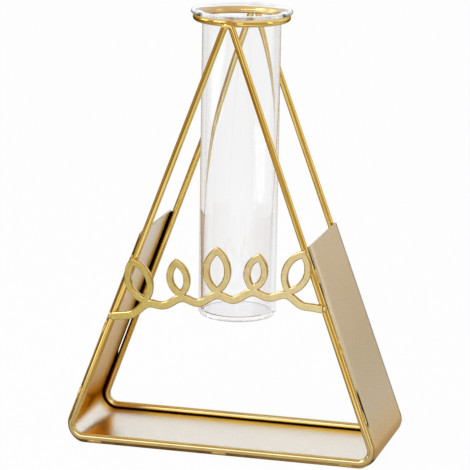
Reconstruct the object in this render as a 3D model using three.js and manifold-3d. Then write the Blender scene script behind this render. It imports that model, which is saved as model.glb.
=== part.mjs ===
// A flower vase: a clear glass tube that hangs by its lip in a wire ring, on a stand of bent wire and sheet.
// Millimetres, +Z up. The front faces -Y, and the origin lies under the middle of the foot plate.

import * as THREE from 'three';
import { mergeVertices } from 'three/addons/utils/BufferGeometryUtils.js';
import loadManifold from 'manifold-3d';

// Stock
const WIRE_DIAMETER = 3;
const SHEET_THICKNESS = 1;
const ORNAMENT_THICKNESS = 1.5;

// Clearances
const SEAM_GAP = 0.3; // between a wire and the sheet, ring, lip or ornament that lies against it
const WELD_GAP = 0.1; // between a weld bead and the metal on each side of it
const RING_CLEARANCE = 1.25; // between the tube's wall and the inside of the ring

// Glass tube
const TUBE_DIAMETER = 35;
const TUBE_LENGTH = 139;
const TUBE_WALL = 1.8;
const TUBE_FLOOR = 2;
const TUBE_FOOT_RADIUS = 2.2;
const TUBE_INNER_CORNER = 1.4;
const LIP_THICKNESS = 1.6;
const LIP_REACH = 2.4; // past the middle of the ring's wire

// Stand, measured to the middle of the wire
const RING_HEIGHT = 194.7;
const FOOT_SPAN = 143.3; // between the sharp corners that the foot bends round off
const FRAME_SPACING = 53.8; // front to back, at the foot
const FOOT_BEND = 5.4;
const APEX_BEND = 1.9;
const APEX_DROP = 0.5; // of the apex below the ring
const PANEL_HEIGHT = 98; // top edge of the side panels above the table

// Ornament: a leafy stem cut from sheet, measured up the front frame from its foot wire
const STEM_HEIGHT = 58;
const STEM_RISE = 11; // from the left leg to the right leg
const STEM_ARCH = 6.5; // of its middle above its ends
const STEM_SHOULDER = 1.6; // leaf pitches in which the arch rises from each end
const STEM_WIDTH = 3.6;
const STEM_WAVE = 1.4;
const LEAVES = 5;
const LEAF_STRIP = 3.2;
const LEAF_FAN = THREE.MathUtils.degToRad(40); // between the first leaf and the last
const LARGE_LEAF = { length: 22, width: 13 };
const SMALL_LEAF = { length: 18, width: 11 };

// Welds
const TACKS_PER_RUN = 3;
const TACK_LENGTH = 7;
const LEG_TACK_INSET = 10; // from the ends of a leg's run along the panel, which stay open as slits
const FOOT_TACK_INSET = 2; // from the ends of the foot wire's straight run
const TACK_WRAP = THREE.MathUtils.degToRad(50); // round the wire
const TACK_COVER = 0.7; // of the sheet's cut edge, in thicknesses
const RING_BEAD = { length: 7, radius: 0.85 };
const END_BEAD = { length: 3.2, radius: 1.2 };

// Facets
const BEND_STEPS = 5; // two facets each
const PROFILE_STEPS = 3; // two facets each
const WIRE_SIDES = 12;
const ROUND_SIDES = 48;
const STEM_STEPS = 12; // in each wave
const LEAF_STEPS = 7;

// What the sizes above lead to
const wireRadius = WIRE_DIAMETER / 2;
const wireToSheet = wireRadius + SEAM_GAP;
const footWireHeight = SHEET_THICKNESS + wireToSheet;
const tubeRadius = TUBE_DIAMETER / 2;
const flareRadius = RING_CLEARANCE + wireRadius;
const ringRadius = tubeRadius + flareRadius;
const lipUnderside = RING_HEIGHT + wireToSheet;

// Each frame leans inward from its foot to its apex, which stands against the ring.
const apexReach = Math.sqrt((WIRE_DIAMETER + SEAM_GAP) ** 2 - APEX_DROP ** 2);
const frameRise = RING_HEIGHT - APEX_DROP - footWireHeight;
const frameInset = FRAME_SPACING / 2 - ringRadius - apexReach;
const frameLean = Math.atan2(frameInset, frameRise);
const frameHeight = Math.hypot(frameInset, frameRise);

// In a frame's own plane, X runs right and Y runs up from the foot wire. A leg is tangent to the apex bend.
const apexCentre = frameHeight - APEX_BEND;
const legAngle =
  Math.atan2(FOOT_SPAN / 2, apexCentre) - Math.asin(APEX_BEND / Math.hypot(FOOT_SPAN / 2, apexCentre));
const footTangent = FOOT_BEND / Math.tan((Math.PI / 2 - legAngle) / 2);
const footCentre = FOOT_SPAN / 2 - footTangent;
const panelRun = (PANEL_HEIGHT - footWireHeight) / Math.cos(frameLean) / Math.cos(legAngle);
const stemStartRun = STEM_HEIGHT / Math.cos(legAngle);
const stemEndRun = (STEM_HEIGHT + STEM_RISE) / Math.cos(legAngle);

const wasm = await loadManifold();
wasm.setup();

function polishedWire() {
  return new THREE.MeshStandardMaterial({ color: 0xc9a256, metalness: 1, roughness: 0.16 });
}

function satinSheet() {
  return new THREE.MeshStandardMaterial({ color: 0xcbb78d, metalness: 1, roughness: 0.3 });
}

function brushedSheet() {
  return new THREE.MeshStandardMaterial({ color: 0xd2b878, metalness: 1, roughness: 0.35 });
}

function weldMetal() {
  return new THREE.MeshStandardMaterial({ color: 0xbd9750, metalness: 1, roughness: 0.3 });
}

function clearGlass() {
  return new THREE.MeshStandardMaterial({
    color: 0xf1f5f4,
    metalness: 0,
    roughness: 0.04,
    transparent: true,
    opacity: 0.3,
  });
}

function namedMesh(name, geometry, material) {
  const mesh = new THREE.Mesh(geometry, material);
  mesh.name = name;
  return mesh;
}

function toSolid(geometry) {
  const bare = geometry.clone();
  bare.deleteAttribute('normal');
  bare.deleteAttribute('uv');
  const merged = mergeVertices(bare);
  return new wasm.Manifold(
    new wasm.Mesh({
      numProp: 3,
      vertProperties: merged.attributes.position.array,
      triVerts: new Uint32Array(merged.index.array),
    }),
  );
}

function toGeometry(solid) {
  const { vertProperties, triVerts } = solid.getMesh();
  const geometry = new THREE.BufferGeometry();
  geometry.setAttribute('position', new THREE.BufferAttribute(vertProperties, 3));
  geometry.setIndex(new THREE.BufferAttribute(triVerts, 1));
  geometry.computeVertexNormals();
  return geometry;
}

// The points that a path turns at: one step for each straight run and even steps round each bend.
function stationsOf(path, steps) {
  const points = path.getPoints(steps);
  return points.filter((point, i) => i === 0 || point.distanceTo(points[i - 1]) > 1e-6);
}

// A curve that runs straight from station to station, so that a bend gets all the facets.
class StationCurve extends THREE.Curve {
  constructor(stations) {
    super();
    this.stations = stations;
  }

  getPoint(t, target = new THREE.Vector3()) {
    const place = t * (this.stations.length - 1);
    const before = Math.min(Math.floor(place), this.stations.length - 2);
    const point = this.stations[before].clone().lerp(this.stations[before + 1], place - before);
    return target.set(point.x, point.y, 0);
  }

  getUtoTmapping(u) {
    return u;
  }
}

// A point on a leg, by its distance up the leg from the sharp foot corner and outward from the wire's middle.
function legPoint(side, run, outward) {
  const x = FOOT_SPAN / 2 - run * Math.sin(legAngle) + outward * Math.cos(legAngle);
  const y = run * Math.cos(legAngle) + outward * Math.sin(legAngle);
  return new THREE.Vector2(side * x, y);
}

function frameGeometry(radius) {
  const path = new THREE.Path();
  path.moveTo(0, 0);
  path.lineTo(footCentre, 0);
  path.absarc(footCentre, FOOT_BEND, FOOT_BEND, -Math.PI / 2, legAngle, false);
  path.absarc(0, apexCentre, APEX_BEND, legAngle, Math.PI - legAngle, false);
  path.absarc(-footCentre, FOOT_BEND, FOOT_BEND, Math.PI - legAngle, 1.5 * Math.PI, false);
  path.lineTo(0, 0);
  const stations = stationsOf(path, BEND_STEPS);
  return new THREE.TubeGeometry(new StationCurve(stations), stations.length - 1, radius, WIRE_SIDES, true);
}

function ringGeometry(radius) {
  return new THREE.TorusGeometry(ringRadius, radius, WIRE_SIDES, ROUND_SIDES);
}

// The tube's profile runs out along its foot, up the wall, round the lip and back down the inside.
function glassTube() {
  const base = lipUnderside + LIP_THICKNESS - TUBE_LENGTH;
  const flareCentre = lipUnderside - flareRadius;
  const lipEdge = ringRadius + LIP_REACH - LIP_THICKNESS / 2;
  const innerRadius = tubeRadius - TUBE_WALL;
  const profile = new THREE.Path();
  profile.moveTo(0, base);
  profile.lineTo(tubeRadius - TUBE_FOOT_RADIUS, base);
  profile.absarc(tubeRadius - TUBE_FOOT_RADIUS, base + TUBE_FOOT_RADIUS, TUBE_FOOT_RADIUS, -Math.PI / 2, 0, false);
  profile.absarc(ringRadius, flareCentre, flareRadius, Math.PI, Math.PI / 2, true);
  profile.absarc(lipEdge, lipUnderside + LIP_THICKNESS / 2, LIP_THICKNESS / 2, -Math.PI / 2, Math.PI / 2, false);
  profile.absellipse(
    ringRadius,
    flareCentre,
    flareRadius + TUBE_WALL,
    flareRadius + LIP_THICKNESS,
    Math.PI / 2,
    Math.PI,
    false,
  );
  profile.absarc(
    innerRadius - TUBE_INNER_CORNER,
    base + TUBE_FLOOR + TUBE_INNER_CORNER,
    TUBE_INNER_CORNER,
    0,
    -Math.PI / 2,
    true,
  );
  profile.lineTo(0, base + TUBE_FLOOR);
  const geometry = new THREE.LatheGeometry(stationsOf(profile, PROFILE_STEPS), ROUND_SIDES);
  geometry.rotateX(Math.PI / 2);
  return namedMesh('glass_tube', geometry, clearGlass());
}

function supportRing() {
  const ring = namedMesh('support_ring', ringGeometry(wireRadius), polishedWire());
  ring.position.z = RING_HEIGHT;
  return ring;
}

// The band's section is drawn in the plane of the frames, and the band spans from one leaning frame to the other.
function baseBand() {
  const inner = wireToSheet;
  const outer = wireToSheet + SHEET_THICKNESS;
  const leftTop = legPoint(-1, panelRun, inner);
  const rightTop = legPoint(1, panelRun, inner);
  const rightTopOut = legPoint(1, panelRun, outer);
  const leftTopOut = legPoint(-1, panelRun, outer);
  const section = new THREE.Shape();
  section.absarc(-footCentre, FOOT_BEND, FOOT_BEND + inner, Math.PI - legAngle, 1.5 * Math.PI, false);
  section.absarc(footCentre, FOOT_BEND, FOOT_BEND + inner, -Math.PI / 2, legAngle, false);
  section.lineTo(rightTop.x, rightTop.y);
  section.lineTo(rightTopOut.x, rightTopOut.y);
  section.absarc(footCentre, FOOT_BEND, FOOT_BEND + outer, legAngle, -Math.PI / 2, true);
  section.absarc(-footCentre, FOOT_BEND, FOOT_BEND + outer, 1.5 * Math.PI, Math.PI - legAngle, true);
  section.lineTo(leftTopOut.x, leftTopOut.y);
  section.lineTo(leftTop.x, leftTop.y);
  section.closePath();
  const geometry = new THREE.ExtrudeGeometry(section, { depth: 1, bevelEnabled: false, curveSegments: BEND_STEPS });
  const position = geometry.attributes.position;
  for (let i = 0; i < position.count; i += 1) {
    const up = position.getY(i);
    const halfDepth = FRAME_SPACING / 2 - up * Math.sin(frameLean);
    const y = (1 - 2 * position.getZ(i)) * halfDepth;
    position.setXYZ(i, position.getX(i), y, footWireHeight + up * Math.cos(frameLean));
  }
  geometry.computeVertexNormals();
  return namedMesh('base_band', geometry, satinSheet());
}

// A weld bead in the crevice between a straight wire and the sheet's cut edge. Its section has X outward
// from the wire and Y towards the face of the frame, and it runs along the wire.
function tackWeld(name, place, outwardAngle) {
  const beadRadius = wireRadius + WELD_GAP;
  const edge = new THREE.Vector2(wireToSheet + TACK_COVER * SHEET_THICKNESS, WELD_GAP);
  const crown = new THREE.Vector2(beadRadius * Math.cos(TACK_WRAP), beadRadius * Math.sin(TACK_WRAP));
  const section = new THREE.Shape();
  section.moveTo(edge.x, edge.y);
  section.quadraticCurveTo(edge.x, crown.y, crown.x, crown.y);
  section.absarc(0, 0, beadRadius, TACK_WRAP, Math.asin(WELD_GAP / beadRadius), true);
  section.closePath();
  const geometry = new THREE.ExtrudeGeometry(section, {
    depth: TACK_LENGTH,
    bevelEnabled: false,
    curveSegments: BEND_STEPS,
  });
  geometry.translate(0, 0, -TACK_LENGTH / 2);
  const weld = namedMesh(name, geometry, weldMetal());
  const outward = new THREE.Vector3(Math.cos(outwardAngle), Math.sin(outwardAngle), 0);
  const face = new THREE.Vector3(0, 0, 1);
  const along = new THREE.Vector3().crossVectors(outward, face);
  weld.quaternion.setFromRotationMatrix(new THREE.Matrix4().makeBasis(outward, face, along));
  weld.position.set(place.x, place.y, 0);
  return weld;
}

// The middles of the tacks on a straight run, evenly spread between its ends.
function tackPlaces(start, end, inset) {
  const first = start + inset + TACK_LENGTH / 2;
  const last = end - inset - TACK_LENGTH / 2;
  return Array.from({ length: TACKS_PER_RUN }, (_, i) =>
    THREE.MathUtils.lerp(first, last, i / (TACKS_PER_RUN - 1)),
  );
}

// A tack that would meet the weld at an end of the ornament moves along its leg until it is clear of it.
function clearOfEndWeld(run, weldRun) {
  const apart = (TACK_LENGTH + END_BEAD.length) / 2 + WELD_GAP;
  if (Math.abs(run - weldRun) >= apart) {
    return run;
  }
  return weldRun + (run < weldRun ? -apart : apart);
}

function tackWelds(face, sideNames) {
  const welds = [];
  tackPlaces(footTangent, panelRun, LEG_TACK_INSET).forEach((run, i) => {
    const left = legPoint(-1, clearOfEndWeld(run, stemStartRun), 0);
    const right = legPoint(1, clearOfEndWeld(run, stemEndRun), 0);
    welds.push(tackWeld(`tack_weld_${face}_${sideNames[0]}_${i + 1}`, left, Math.PI - legAngle));
    welds.push(tackWeld(`tack_weld_${face}_${sideNames[1]}_${i + 1}`, right, legAngle));
  });
  tackPlaces(-footCentre, footCentre, FOOT_TACK_INSET).forEach((x, i) => {
    welds.push(tackWeld(`tack_weld_${face}_foot_${i + 1}`, new THREE.Vector2(x, 0), -Math.PI / 2));
  });
  return welds;
}

// An open leaf between two equal arcs, lying along +X from its foot at the origin.
function leafGeometry(leaf) {
  const half = leaf.length / 2;
  const radius = (half ** 2 + (leaf.width / 2) ** 2) / leaf.width;
  const offset = radius - leaf.width / 2;
  const outerAngle = Math.acos(offset / radius);
  const innerAngle = Math.acos(offset / (radius - LEAF_STRIP));
  const up = Math.PI / 2;
  const shape = new THREE.Shape();
  shape.absarc(half, offset, radius, -up - outerAngle, -up + outerAngle, false);
  shape.absarc(half, -offset, radius, up - outerAngle, up + outerAngle, false);
  const opening = new THREE.Path();
  opening.absarc(half, offset, radius - LEAF_STRIP, -up - innerAngle, -up + innerAngle, false);
  opening.absarc(half, -offset, radius - LEAF_STRIP, up - innerAngle, up + innerAngle, false);
  shape.holes.push(opening);
  return new THREE.ExtrudeGeometry(shape, {
    depth: ORNAMENT_THICKNESS,
    bevelEnabled: false,
    curveSegments: LEAF_STEPS,
  });
}

// The stem arches from leg to leg in waves. A leaf stands on each crest, by turns a large and a small one, and
// they fan out. The wave dies out in the first and the last pitch, so that the tails lie square across the legs.
const stemPitches = LEAVES + 1;
const stemStart = legPoint(-1, stemStartRun, 0);
const stemEnd = legPoint(1, stemEndRun, 0);
const leafPitch = (stemEnd.x - stemStart.x) / stemPitches;

function stemPoint(pitches) {
  const { smoothstep } = THREE.MathUtils;
  const tails = smoothstep(pitches, 0, 1) * smoothstep(stemPitches - pitches, 0, 1);
  const wave = STEM_WAVE * tails * Math.cos(2 * Math.PI * pitches);
  const shoulders = smoothstep(pitches, 0, STEM_SHOULDER) * smoothstep(stemPitches - pitches, 0, STEM_SHOULDER);
  const arch = STEM_ARCH * shoulders;
  const rise = STEM_RISE * smoothstep(pitches, 0, stemPitches);
  return new THREE.Vector2(stemStart.x + pitches * leafPitch, stemStart.y + rise + arch + wave);
}

function stemGeometry() {
  const nudge = 1e-4;
  const steps = STEM_STEPS * stemPitches;
  const upperEdge = [];
  const lowerEdge = [];
  for (let i = 0; i <= steps; i += 1) {
    const pitches = i / STEM_STEPS;
    const along = stemPoint(pitches + nudge).sub(stemPoint(pitches - nudge));
    const across = new THREE.Vector2(-along.y, along.x).setLength(STEM_WIDTH / 2);
    upperEdge.push(stemPoint(pitches).add(across));
    lowerEdge.push(stemPoint(pitches).sub(across));
  }
  const shape = new THREE.Shape([...lowerEdge, ...upperEdge.reverse()]);
  return new THREE.ExtrudeGeometry(shape, { depth: ORNAMENT_THICKNESS, bevelEnabled: false });
}

function ornament() {
  let solid = toSolid(stemGeometry());
  for (let i = 1; i <= LEAVES; i += 1) {
    const foot = stemPoint(i);
    const leaf = leafGeometry(i % 2 === 1 ? LARGE_LEAF : SMALL_LEAF);
    leaf.rotateZ(Math.PI / 2 + LEAF_FAN * (0.5 - (i - 1) / (LEAVES - 1)));
    leaf.translate(foot.x, foot.y, 0);
    solid = solid.add(toSolid(leaf));
  }
  const mesh = namedMesh('ornament', toGeometry(solid), brushedSheet());
  mesh.position.z = wireToSheet;
  return mesh;
}

// A bead on the wire at the ornament's end, cut clear of the wire and of the ornament.
function endWeld(name, end, side, frameCutter, ornamentMesh) {
  const geometry = new THREE.SphereGeometry(END_BEAD.radius, WIRE_SIDES, WIRE_SIDES);
  geometry.scale(1, END_BEAD.length / (2 * END_BEAD.radius), 1);
  geometry.translate(end.x + side * wireRadius / 2, end.y, wireToSheet);
  const strip = new THREE.BoxGeometry(STEM_WIDTH, 2 * STEM_WIDTH, ORNAMENT_THICKNESS + 2 * WELD_GAP);
  strip.translate(
    end.x + side * (WELD_GAP - STEM_WIDTH / 2),
    end.y,
    ornamentMesh.position.z + ORNAMENT_THICKNESS / 2,
  );
  const solid = toSolid(geometry).subtract(frameCutter).subtract(toSolid(strip));
  return namedMesh(name, toGeometry(solid), weldMetal());
}

// A bead in the upper crevice between the ring and an apex bend, cut clear of both wires.
function ringWeld(name, frame) {
  const apart = WIRE_DIAMETER + SEAM_GAP;
  const geometry = new THREE.SphereGeometry(RING_BEAD.radius, WIRE_SIDES, WIRE_SIDES);
  geometry.scale(RING_BEAD.length / (2 * RING_BEAD.radius), 1, 1);
  geometry.translate(
    0,
    -ringRadius - apexReach / 2 - (RING_BEAD.radius * APEX_DROP) / apart,
    RING_HEIGHT - APEX_DROP / 2 + (RING_BEAD.radius * apexReach) / apart,
  );
  const ringCutter = ringGeometry(wireRadius + WELD_GAP).translate(0, 0, RING_HEIGHT);
  frame.updateMatrix();
  const frameCutter = frameGeometry(wireRadius + WELD_GAP).applyMatrix4(frame.matrix);
  const solid = toSolid(geometry).subtract(toSolid(ringCutter)).subtract(toSolid(frameCutter));
  return namedMesh(name, toGeometry(solid), weldMetal());
}

// One wire frame with its welds, facing -Y. The back frame is the front one turned half round the tube.
function frameGroup(face, sideNames) {
  const frame = new THREE.Group();
  frame.position.set(0, -FRAME_SPACING / 2, footWireHeight);
  frame.rotation.x = Math.PI / 2 - frameLean;
  frame.add(namedMesh(`${face}_frame`, frameGeometry(wireRadius), polishedWire()));
  frame.add(...tackWelds(face, sideNames));
  const turned = new THREE.Group();
  turned.add(frame, ringWeld(`ring_weld_${face}`, frame));
  return { turned, frame };
}

const front = frameGroup('front', ['left', 'right']);
const frontOrnament = ornament();
const wireCutter = toSolid(frameGeometry(wireRadius + WELD_GAP));
front.frame.add(frontOrnament);
front.frame.add(endWeld('ornament_weld_left', stemStart, -1, wireCutter, frontOrnament));
front.frame.add(endWeld('ornament_weld_right', stemEnd, 1, wireCutter, frontOrnament));

const back = frameGroup('back', ['right', 'left']);
back.turned.rotation.z = Math.PI;

const vase = new THREE.Group();
vase.add(glassTube(), supportRing(), baseBand(), front.turned, back.turned);

export default vase;
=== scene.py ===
"""Looks for a flower vase: a clear glass tube that hangs in a stand of gold wire and sheet."""

import math

import bmesh
import bpy
from mathutils import Matrix, Vector, noise


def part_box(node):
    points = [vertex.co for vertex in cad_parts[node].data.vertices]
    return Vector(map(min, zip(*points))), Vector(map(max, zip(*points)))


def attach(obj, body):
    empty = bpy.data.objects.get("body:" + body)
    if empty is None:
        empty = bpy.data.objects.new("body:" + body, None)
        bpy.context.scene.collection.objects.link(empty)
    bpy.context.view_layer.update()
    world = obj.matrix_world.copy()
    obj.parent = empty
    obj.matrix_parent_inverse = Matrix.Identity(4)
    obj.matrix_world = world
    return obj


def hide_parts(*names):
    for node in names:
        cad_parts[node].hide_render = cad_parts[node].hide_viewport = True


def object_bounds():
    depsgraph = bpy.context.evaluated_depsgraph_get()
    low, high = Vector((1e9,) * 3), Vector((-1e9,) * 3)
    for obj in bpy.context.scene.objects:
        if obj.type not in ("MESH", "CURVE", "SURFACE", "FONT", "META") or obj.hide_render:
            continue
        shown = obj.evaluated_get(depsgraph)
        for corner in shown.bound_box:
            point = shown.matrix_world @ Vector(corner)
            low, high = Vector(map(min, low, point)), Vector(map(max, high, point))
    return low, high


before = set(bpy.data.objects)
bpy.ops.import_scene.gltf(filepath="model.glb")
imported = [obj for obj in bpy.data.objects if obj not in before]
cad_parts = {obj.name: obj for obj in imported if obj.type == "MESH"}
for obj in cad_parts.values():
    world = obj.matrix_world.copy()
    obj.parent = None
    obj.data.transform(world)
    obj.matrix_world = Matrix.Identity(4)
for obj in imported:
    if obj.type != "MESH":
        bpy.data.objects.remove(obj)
cad_low, cad_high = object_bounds()

MM = 0.001
MICRON = 0.000001
UP = Vector((0, 0, 1))
WHITE = (1.0, 1.0, 1.0)

# Sizes of the frame that the smooth pieces follow
WIRE_RADIUS = 1.5 * MM
SHEET_THICKNESS = 1.0 * MM
SEAM_GAP = 0.3 * MM
FOOT_SPAN = 143.3 * MM
FRAME_SPACING = 53.8 * MM
FOOT_BEND = 5.4 * MM
APEX_BEND = 1.9 * MM
APEX_DROP = 0.5 * MM
PANEL_HEIGHT = 98.0 * MM
RING_HEIGHT = 194.7 * MM
TUBE_RADIUS = 17.5 * MM
TUBE_WALL = 1.8 * MM
TUBE_FLOOR = 2.0 * MM
TUBE_FOOT_RADIUS = 2.2 * MM
TUBE_INNER_CORNER = 1.4 * MM
LIP_THICKNESS = 1.6 * MM

# Edges of the band, with shares of its half depth and of the slit's length
CLOSED_SEAM = -0.15 * MM
DRAWN_UP_FROM = 0.88
SLIT = 0.6 * MM
SLIT_TAPER = 0.15
FRONT_ROLL = 0.8 * MM
ROLLED_FROM = 0.9
ROLL_FULL_SLOPE = 0.9
SHEET_ROUND = 0.15 * MM
SHARP_ANGLE = math.radians(40)

# Ornament, with its shoulder in leaf pitches
ORNAMENT_THICKNESS = 1.5 * MM
ORNAMENT_ROUND = 0.6 * MM
STEM_HEIGHT = 58.0 * MM
STEM_RISE = 11.0 * MM
STEM_ARCH = 6.5 * MM
STEM_SHOULDER = 1.6
STEM_WIDTH = 3.6 * MM
STEM_WAVE = 1.4 * MM
LEAVES = 5
LEAF_STRIP = 3.2 * MM
LEAF_FAN = math.radians(40)
LARGE_LEAF = (22.0 * MM, 13.0 * MM)
SMALL_LEAF = (18.0 * MM, 11.0 * MM)

# Welds
TACKS_PER_RUN = 3
TACK_LENGTH = 7.0 * MM
TACK_WIDTH = 1.3 * MM
TACK_HEIGHT = 0.8 * MM
TACK_OUT = 0.3 * MM
TACK_FORWARD = 0.42 * MM
TACK_TILT = math.radians(-38)
LEG_TACK_INSET = 10.0 * MM
FOOT_TACK_INSET = 2.0 * MM
BEAD_BLUNTNESS = 0.8
LUMP_SIZE = 0.07
LUMPS_ACROSS = 1.7
LUMP_STEP = (3.1, 1.7, 1.0)

# Mesh steps
BEND_STEPS = 24
WIRE_SIDES = 32
ROUND_STEPS = 160
PROFILE_STEPS = 12
LEG_STEPS = 60
DEPTH_STEPS = 24
STEM_STEPS = 30
LEAF_STEPS = 28
ROUND_EDGE_STEPS = 4
SHEET_ROUND_STEPS = 2
BEAD_SUBDIVISIONS = 4

# Tones of the band's inner face, where a pair is what a tone drifts between, and the slant of a patch; the
# pale plate and top and the ambers are painted reflection, the dark seam painted shade
PLATE_PAINTED_REFLECTION = ((0.80, 0.75, 0.68), (0.85, 0.81, 0.74))
PANEL_GOLD = ((0.84, 0.61, 0.30), (0.91, 0.68, 0.37))
PANEL_TOP_PAINTED_REFLECTION = (0.92, 0.87, 0.82)
AMBER_PAINTED_REFLECTION = (0.92, 0.68, 0.14)
DEEP_AMBER_PAINTED_REFLECTION = (0.80, 0.42, 0.03)
YELLOW_PAINTED_REFLECTION = (0.98, 0.79, 0.26)
SEAM_PAINTED_SHADE = (0.05, 0.018, 0.002)
REFLECTION_PATCH_SLANT = 0.264

# Tones of its outer face, and its painted shade along the seams and by the table
FOOT_WARM = ((0.70, 0.47, 0.18), (0.80, 0.56, 0.24))
SATIN_DEEP = ((0.66, 0.55, 0.38), (0.76, 0.65, 0.46))
CHAMPAGNE = ((0.80, 0.69, 0.51), (0.91, 0.79, 0.59))
BACK_SEAM_PAINTED_SHADE = (0.25, 0.17, 0.08)
TABLE_PAINTED_SHADOW = (0.08, 0.045, 0.012)
FRONT_GAP_PAINTED_SHADE = (0.03, 0.012, 0.002)

# Tones of its cut edges, with painted shade at the left and a painted gap shadow high up
EDGE_LEFT_PAINTED_SHADE = ((0.20, 0.12, 0.03), (0.30, 0.19, 0.06))
EDGE_GOLD = ((0.50, 0.36, 0.14), (0.62, 0.46, 0.20))
EDGE_GAP_PAINTED_SHADOW = (0.06, 0.03, 0.01)
EDGE_TOP = (0.45, 0.39, 0.30)

# Tones of wire, ornament and beads, with the wire's painted highlight at the foot, and the slant of the
# ring's painted dark reflection
WIRE_PAINTED_HIGHLIGHT = ((0.82, 0.71, 0.40), (0.90, 0.79, 0.47))
WIRE_DEEP = ((0.80, 0.59, 0.17), (0.89, 0.68, 0.23))
WIRE_EDGE = (0.45, 0.34, 0.12)
RING_GOLD = ((0.81, 0.605, 0.21), (0.90, 0.695, 0.27))
RING_PAINTED_DARK_REFLECTION = (0.55, 0.33, 0.08)
RING_REFLECTION_SLANT = 0.5
ORNAMENT_OLIVE = ((0.66, 0.53, 0.14), (0.76, 0.63, 0.20))
ORNAMENT_PALE = ((0.82, 0.69, 0.36), (0.92, 0.79, 0.46))
ORNAMENT_EDGE = ((0.64, 0.48, 0.19), (0.75, 0.59, 0.28))
WELD_GOLD = ((0.70, 0.52, 0.20), (0.82, 0.64, 0.29))
BRAZE_BROWN = ((0.60, 0.29, 0.10), (0.76, 0.44, 0.19))

# Noise, with its patches and speckle in cycles per metre, and the range that most of it lies in
TONE_PATCHES = 60.0
EDGE_PATCHES = 200.0
POLISH_PATCHES = 220.0
PANEL_PATCHES = 300.0
BEAD_PATCHES = 300.0
ORNAMENT_PATCHES = 500.0
PLATE_SPECKLE = 900.0
SATIN_SPECKLE = 1500.0
NOISE_RANGE = (0.3, 0.7)

# Glass, with painted dark reflection at its outline, foot corner and rim
GLASS_INDEX = 1.47
GLASS_CLEAR = (0.968, 0.97, 0.976)
GLASS_SIDE = (0.72, 0.72, 0.75)
GLASS_OUTLINE_PAINTED_REFLECTION = (0.35, 0.35, 0.37)
GLASS_FOOT_PAINTED_REFLECTION = (0.25, 0.25, 0.27)
GLASS_RIM_PAINTED_REFLECTION = (0.66, 0.67, 0.72)
GLASS_WAVES = 90.0
GLASS_WAVE_STRETCH = (1, 1, 0.12)
GLASS_WAVE_DEPTH = 30 * MICRON

# Floor, with places and reaches in metres
FLOOR_HALF_SIDE = 4.0
FLOOR_GREY = (0.8, 0.8, 0.8)
FLOOR_ROUGHNESS = 0.9
FLOOR_WHITENESS = 0.97
POOL_CENTRE = (0.03, -0.27, 0)
POOL_REACH = 0.4
POOL_MIDDLE = 1.0
POOL_EDGE = 0.52
SHADE_CENTRE = (-0.005, -0.045, 0)
SHADE_REACH = 0.13
SHADE_LEVEL = 0.70
FOOT_CENTRE_ON_FLOOR = (0, 0, 0)
FOOT_REACH = 0.17
FOOT_LEVEL = 0.84
SPOT_CENTRES = ((0.036, -0.139, 0), (-0.163, -0.218, 0))
SPOT_REACH = 0.06
SPOT_LEVEL = 1.05

# Room
ROOM_LIGHT = (0.95, 0.97, 1.0)
ROOM_STRENGTH = 0.5
ROOM_GLOSS = 0.52
LEFT_GLOSS = 0.85 * ROOM_GLOSS
DIM_TINT = (1.0, 0.64, 0.16)
DIM_LEVEL = 0.25
GLASS_BOUNCES = 256

# Camera
CAMERA_YAW = math.radians(14.782)
CAMERA_PITCH = math.radians(13.203)
CAMERA_ROLL = math.radians(0.979)
CAMERA_DISTANCE = 1342.771 * MM
CAMERA_AIM = Vector((0, 0, 95.508 * MM))
CAMERA_SHIFT = -1.422 * MM
CAMERA_SENSOR = 36.0
CAMERA_LENS = 228.6

# What the sizes lead to
_, ring_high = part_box("support_ring")
tube_low, tube_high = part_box("glass_tube")
RING_RADIUS = ring_high.x - WIRE_RADIUS
SHEET_OFFSET = WIRE_RADIUS + SEAM_GAP
FOOT_WIRE_HEIGHT = SHEET_THICKNESS + SHEET_OFFSET
APEX_REACH = math.sqrt((2 * WIRE_RADIUS + SEAM_GAP) ** 2 - APEX_DROP**2)
FRAME_RISE = RING_HEIGHT - APEX_DROP - FOOT_WIRE_HEIGHT
FRAME_INSET = FRAME_SPACING / 2 - RING_RADIUS - APEX_REACH
FRAME_LEAN = math.atan2(FRAME_INSET, FRAME_RISE)
APEX_CENTRE = math.hypot(FRAME_INSET, FRAME_RISE) - APEX_BEND
LEG_ANGLE = math.atan2(FOOT_SPAN / 2, APEX_CENTRE) - math.asin(
    APEX_BEND / math.hypot(FOOT_SPAN / 2, APEX_CENTRE)
)
FOOT_TANGENT = FOOT_BEND / math.tan((math.pi / 2 - LEG_ANGLE) / 2)
FOOT_CENTRE = FOOT_SPAN / 2 - FOOT_TANGENT
PANEL_RUN = (PANEL_HEIGHT - FOOT_WIRE_HEIGHT) / math.cos(FRAME_LEAN) / math.cos(LEG_ANGLE)

# From a frame's own plane, where X runs right, Y up and Z towards its face, to the vase
FRONT = Matrix.Translation((0, -FRAME_SPACING / 2, FOOT_WIRE_HEIGHT)) @ Matrix.Rotation(
    math.pi / 2 - FRAME_LEAN, 4, "X"
)
BACK = Matrix.Rotation(math.pi, 4, "Z") @ FRONT


def arc(x, y, radius, start, end, steps):
    """Points round a centre in the XY plane, both ends included."""
    angles = [start + (end - start) * i / steps for i in range(steps + 1)]
    return [Vector((x + radius * math.cos(a), y + radius * math.sin(a), 0)) for a in angles]


def smoothstep(value, low, high):
    """Goes smoothly from zero to one while the value goes from low to high."""
    t = min(max((value - low) / (high - low), 0), 1)
    return t * t * (3 - 2 * t)


def leg_point(side, run):
    """A point on the middle of a leg's wire, by its distance up from the sharp foot corner."""
    x = FOOT_SPAN / 2 - run * math.sin(LEG_ANGLE)
    return Vector((side * x, run * math.cos(LEG_ANGLE), 0))


def add_object(name, data):
    made = bpy.data.objects.new(name, data)
    bpy.context.scene.collection.objects.link(made)
    return made


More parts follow.
